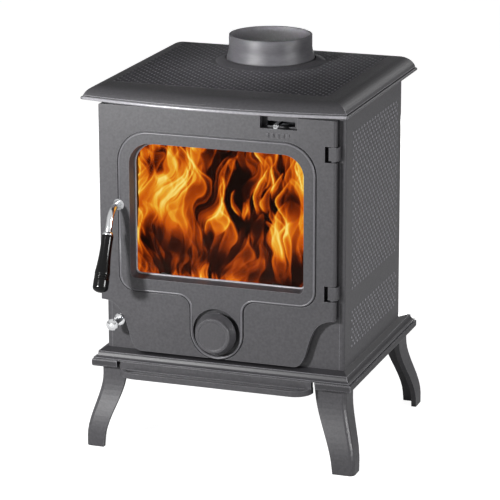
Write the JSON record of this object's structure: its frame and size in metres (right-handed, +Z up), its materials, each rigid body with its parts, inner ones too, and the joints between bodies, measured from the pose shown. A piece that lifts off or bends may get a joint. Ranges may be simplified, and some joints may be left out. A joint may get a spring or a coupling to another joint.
{
  "type": "wood burning stove",
  "caption": "Cast-iron wood burning stove with glazed hinged door, latch handle, spin air wheel, air-wash slide, riddling grate, brick lining, ash pan, flue collar and cabriole legs.",
  "frame": {"origin": "on the floor, under the middle of the whole object's outline", "axes": "+Z up, -Y towards the front where the door is, +X to the right as seen from the front"},
  "size_m": [0.4372, 0.4469, 0.6204],
  "materials": {
    "cast": "satin stove paint over cast iron",
    "bare_cast": "bare, heat darkened",
    "steel": "plain steel, dull zinc on the fasteners",
    "chrome": "polished",
    "firebrick": "matt pressed vermiculite board",
    "grip": "glossy black",
    "glass": "clear ceramic glass",
    "rope": "knitted glass-fibre rope"
  },
  "bodies": {
    "stove": {"base_plate": "cast", "leg_front_left": "cast", "leg_front_right": "cast", "leg_rear_left": "cast", "leg_rear_right": "cast", "leg_bolts": "steel", "ash_lip": "cast", "ash_lip_screws": "steel", "left_side_panel": "cast", "right_side_panel": "cast", "back_panel": "cast", "rear_blanking_plate": "cast", "blanking_plate_bolts": "steel", "front_frame": "cast", "hinge_pins": "steel", "door_catch": "steel", "airwash_guide": "steel", "riddling_escutcheon": "chrome", "top_plate": "cast", "flue_collar": "cast", "flue_collar_bolts": "steel", "tie_rods": "steel", "left_firebrick": "firebrick", "right_firebrick": "firebrick", "back_firebrick": "firebrick", "baffle_plate": "firebrick", "grate_frame": "bare_cast", "log_guard": "bare_cast", "ash_pan": "steel"},
    "door": {"door_casting": "cast", "door_glass": "glass", "glass_seal": "rope", "glass_clips": "steel", "glass_clip_screws": "steel", "door_seal": "rope", "handle_bush": "chrome", "air_wheel_axle": "steel"},
    "handle": {"handle_lever": "chrome", "handle_ferrule": "chrome", "handle_grip": "grip", "latch_cam": "steel", "latch_nut": "steel"},
    "air_wheel": {"air_wheel": "cast"},
    "airwash": {"airwash_slide": "steel", "airwash_rod": "chrome", "airwash_knob": "chrome"},
    "riddling": {"riddling_rod": "steel", "riddling_knob": "chrome", "riddling_grate": "bare_cast"}
  },
  "joints": [
    {"name": "door_hinge", "type": "hinge", "parent": "stove", "child": "door", "pos_m": [0.176, -0.1284, 0.386], "axis": [0, 0, 1], "range_deg": [0, 110]},
    {"name": "handle_turn", "type": "hinge", "parent": "door", "child": "handle", "pos_m": [-0.165, -0.1344, 0.3887], "axis": [0, 1, 0], "range_deg": [0, 90]},
    {"name": "air_wheel_spin", "type": "hinge", "parent": "door", "child": "air_wheel", "pos_m": [-0.00725, -0.1344, 0.2], "axis": [0, 1, 0], "range_deg": [0, 30]},
    {"name": "airwash_travel", "type": "slide", "parent": "stove", "child": "airwash", "axis": [1, 0, 0], "range_m": [-0.014, 0.018]},
    {"name": "riddling_travel", "type": "slide", "parent": "stove", "child": "riddling", "axis": [0, -1, 0], "range_m": [0, 0.025]}
  ]
}
